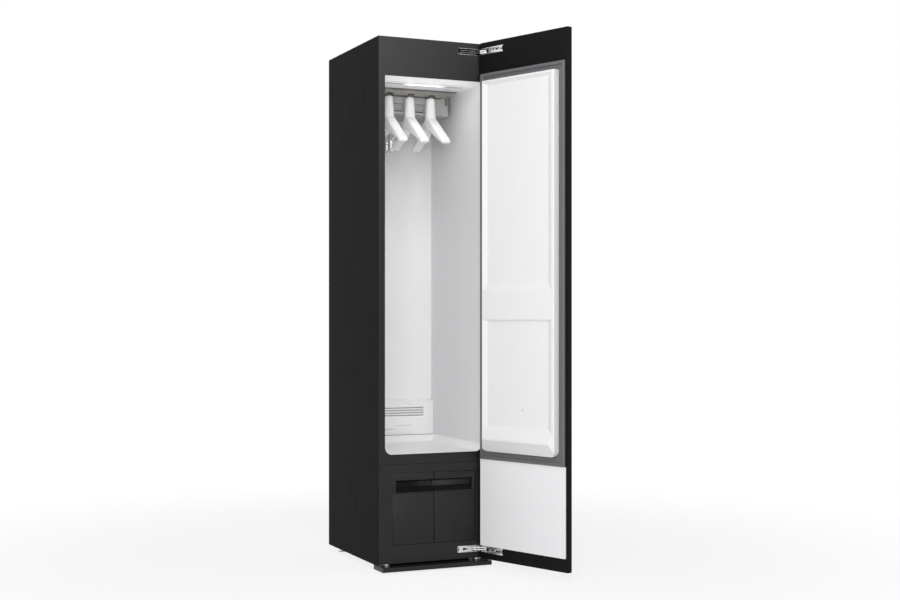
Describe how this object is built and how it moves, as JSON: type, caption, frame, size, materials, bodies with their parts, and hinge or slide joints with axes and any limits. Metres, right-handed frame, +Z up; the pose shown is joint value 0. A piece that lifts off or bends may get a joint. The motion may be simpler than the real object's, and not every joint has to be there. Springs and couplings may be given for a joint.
{
  "type": "clothes care steam cabinet",
  "caption": "Tall narrow garment steaming cabinet with a full-height side-hinged door, white chamber, hangers on a ceiling rail and pull-out water tanks below.",
  "frame": {"origin": "floor level, at the centre of the cabinet's footprint, door left out", "axes": "+Z up, the cabinet's front and door face -Y, +X to the right seen from the front, where the hinges are"},
  "size_m": [0.5737, 0.9762, 1.96],
  "materials": {
    "outer_sheet": "fine matt charcoal powder coat",
    "fascia": "satin charcoal lacquer",
    "door_glass": "satin dark glass, back-painted and opaque",
    "black_plastic": "fine-grained black plastic",
    "white_plastic": "satin white moulded plastic",
    "white_panel": "flat white panel",
    "gasket": "soft grey magnetic gasket",
    "housing_grey": "light warm grey plastic",
    "rail_metal": "brushed, warm grey",
    "zinc": "bright zinc-plated steel",
    "chrome": "polished chrome",
    "lens": "milky light diffuser",
    "galvanised": "galvanised sheet",
    "tank_plastic": "smoky translucent plastic",
    "machine_black": "black enamel",
    "fins": "bare aluminium fins",
    "pump_plastic": "dark grey moulded plastic"
  },
  "bodies": {
    "cabinet": {"side_panel_left": "outer_sheet", "side_panel_right": "outer_sheet", "top_panel": "outer_sheet", "rear_panel": "galvanised", "front_frame": "fascia", "front_lower_panel": "fascia", "base_pan": "galvanised", "plinth": "black_plastic", "chamber_side_left": "white_plastic", "chamber_side_right": "white_plastic", "chamber_back": "white_plastic", "chamber_floor": "white_plastic", "chamber_ceiling": "white_plastic", "light_lens": "lens", "hanger_rail": "rail_metal", "jet_housing": "housing_grey", "intake_cover": "white_plastic", "steam_nozzle": "white_plastic", "tank_bay": "black_plastic", "top_shelf": "galvanised", "compressor": "machine_black", "heat_exchanger": "fins", "steam_generator": "zinc", "water_pump": "pump_plastic", "blower_housing": "pump_plastic", "control_box": "pump_plastic", "power_inlet": "black_plastic", "hinge_top_cup": "zinc", "hinge_bottom_cup": "zinc", "hinge_top_arm": "zinc", "hinge_bottom_arm": "zinc"},
    "door": {"door_frame": "black_plastic", "door_glass": "door_glass", "door_liner": "white_plastic", "door_gasket": "gasket", "door_lower_panel": "white_panel", "hinge_top_bracket": "zinc", "hinge_bottom_bracket": "zinc", "hinge_top_pin": "zinc", "hinge_bottom_pin": "zinc"},
    "tank_left": {"tank_left_front": "black_plastic", "tank_left_body": "tank_plastic", "tank_left_lid": "pump_plastic"},
    "tank_right": {"tank_right_front": "black_plastic", "tank_right_body": "tank_plastic", "tank_right_lid": "pump_plastic"},
    "trouser_hanger": {"trouser_hanger": "white_plastic", "clip_bar": "chrome"},
    "middle_hanger": {"middle_hanger": "white_plastic"},
    "right_hanger": {"right_hanger": "white_plastic"},
    "clip_front": {"clip_front_body": "chrome"},
    "clip_front_jaw": {"clip_front_jaw": "chrome"},
    "clip_rear": {"clip_rear_body": "chrome"},
    "clip_rear_jaw": {"clip_rear_jaw": "chrome"},
    "lint_filter": {"lint_filter": "white_plastic"},
    "blower_rotor": {"blower_rotor": "pump_plastic"},
    "foot_front_left": {"foot_front_left": "black_plastic"},
    "foot_front_right": {"foot_front_right": "black_plastic"},
    "foot_rear_left": {"foot_rear_left": "black_plastic"},
    "foot_rear_right": {"foot_rear_right": "black_plastic"}
  },
  "joints": [
    {"name": "door_hinge", "type": "hinge", "parent": "cabinet", "child": "door", "pos_m": [0.2005, -0.299, 1], "axis": [0, 0, 1], "range_deg": [-109.7, 5.3]},
    {"name": "tank_left_slide", "type": "slide", "parent": "cabinet", "child": "tank_left", "axis": [0, -1, 0], "range_m": [0, 0.18]},
    {"name": "tank_right_slide", "type": "slide", "parent": "cabinet", "child": "tank_right", "axis": [0, -1, 0], "range_m": [0, 0.18]},
    {"name": "trouser_hanger_slide", "type": "slide", "parent": "cabinet", "child": "trouser_hanger", "axis": [0, -1, 0], "range_m": [0, 0.07]},
    {"name": "middle_hanger_slide", "type": "slide", "parent": "cabinet", "child": "middle_hanger", "axis": [0, -1, 0], "range_m": [0, 0.07]},
    {"name": "right_hanger_slide", "type": "slide", "parent": "cabinet", "child": "right_hanger", "axis": [0, -1, 0], "range_m": [0, 0.07]},
    {"name": "lint_filter_slide", "type": "slide", "parent": "cabinet", "child": "lint_filter", "axis": [0, -1, 0], "range_m": [0, 0.05]},
    {"name": "blower_spin", "type": "hinge", "parent": "cabinet", "child": "blower_rotor", "pos_m": [-0.1133, 0.104, 1.83], "axis": [0, 0, 1], "continuous": true},
    {"name": "clip_front_slide", "type": "slide", "parent": "trouser_hanger", "child": "clip_front", "axis": [0, -1, 0], "range_m": [-0.005, 0.03]},
    {"name": "clip_front_squeeze", "type": "hinge", "parent": "clip_front", "child": "clip_front_jaw", "pos_m": [-0.0875, -0.053, 1.602], "axis": [0, -1, 0], "range_deg": [0, 20], "stiffness_Nm_per_rad": 0.02, "springref_deg": -5.73},
    {"name": "clip_rear_slide", "type": "slide", "parent": "trouser_hanger", "child": "clip_rear", "axis": [0, 1, 0], "range_m": [-0.005, 0.03]},
    {"name": "clip_rear_squeeze", "type": "hinge", "parent": "clip_rear", "child": "clip_rear_jaw", "pos_m": [-0.0875, -0.015, 1.602], "axis": [0, -1, 0], "range_deg": [0, 20], "stiffness_Nm_per_rad": 0.02, "springref_deg": -5.73},
    {"name": "foot_front_left_turn", "type": "hinge", "parent": "cabinet", "child": "foot_front_left", "pos_m": [-0.1825, -0.252, 0.03], "axis": [0, 0, 1], "continuous": true},
    {"name": "foot_front_right_turn", "type": "hinge", "parent": "cabinet", "child": "foot_front_right", "pos_m": [0.1825, -0.252, 0.03], "axis": [0, 0, 1], "continuous": true},
    {"name": "foot_rear_left_turn", "type": "hinge", "parent": "cabinet", "child": "foot_rear_left", "pos_m": [-0.1825, 0.228, 0.03], "axis": [0, 0, 1], "continuous": true},
    {"name": "foot_rear_right_turn", "type": "hinge", "parent": "cabinet", "child": "foot_rear_right", "pos_m": [0.1825, 0.228, 0.03], "axis": [0, 0, 1], "continuous": true}
  ]
}
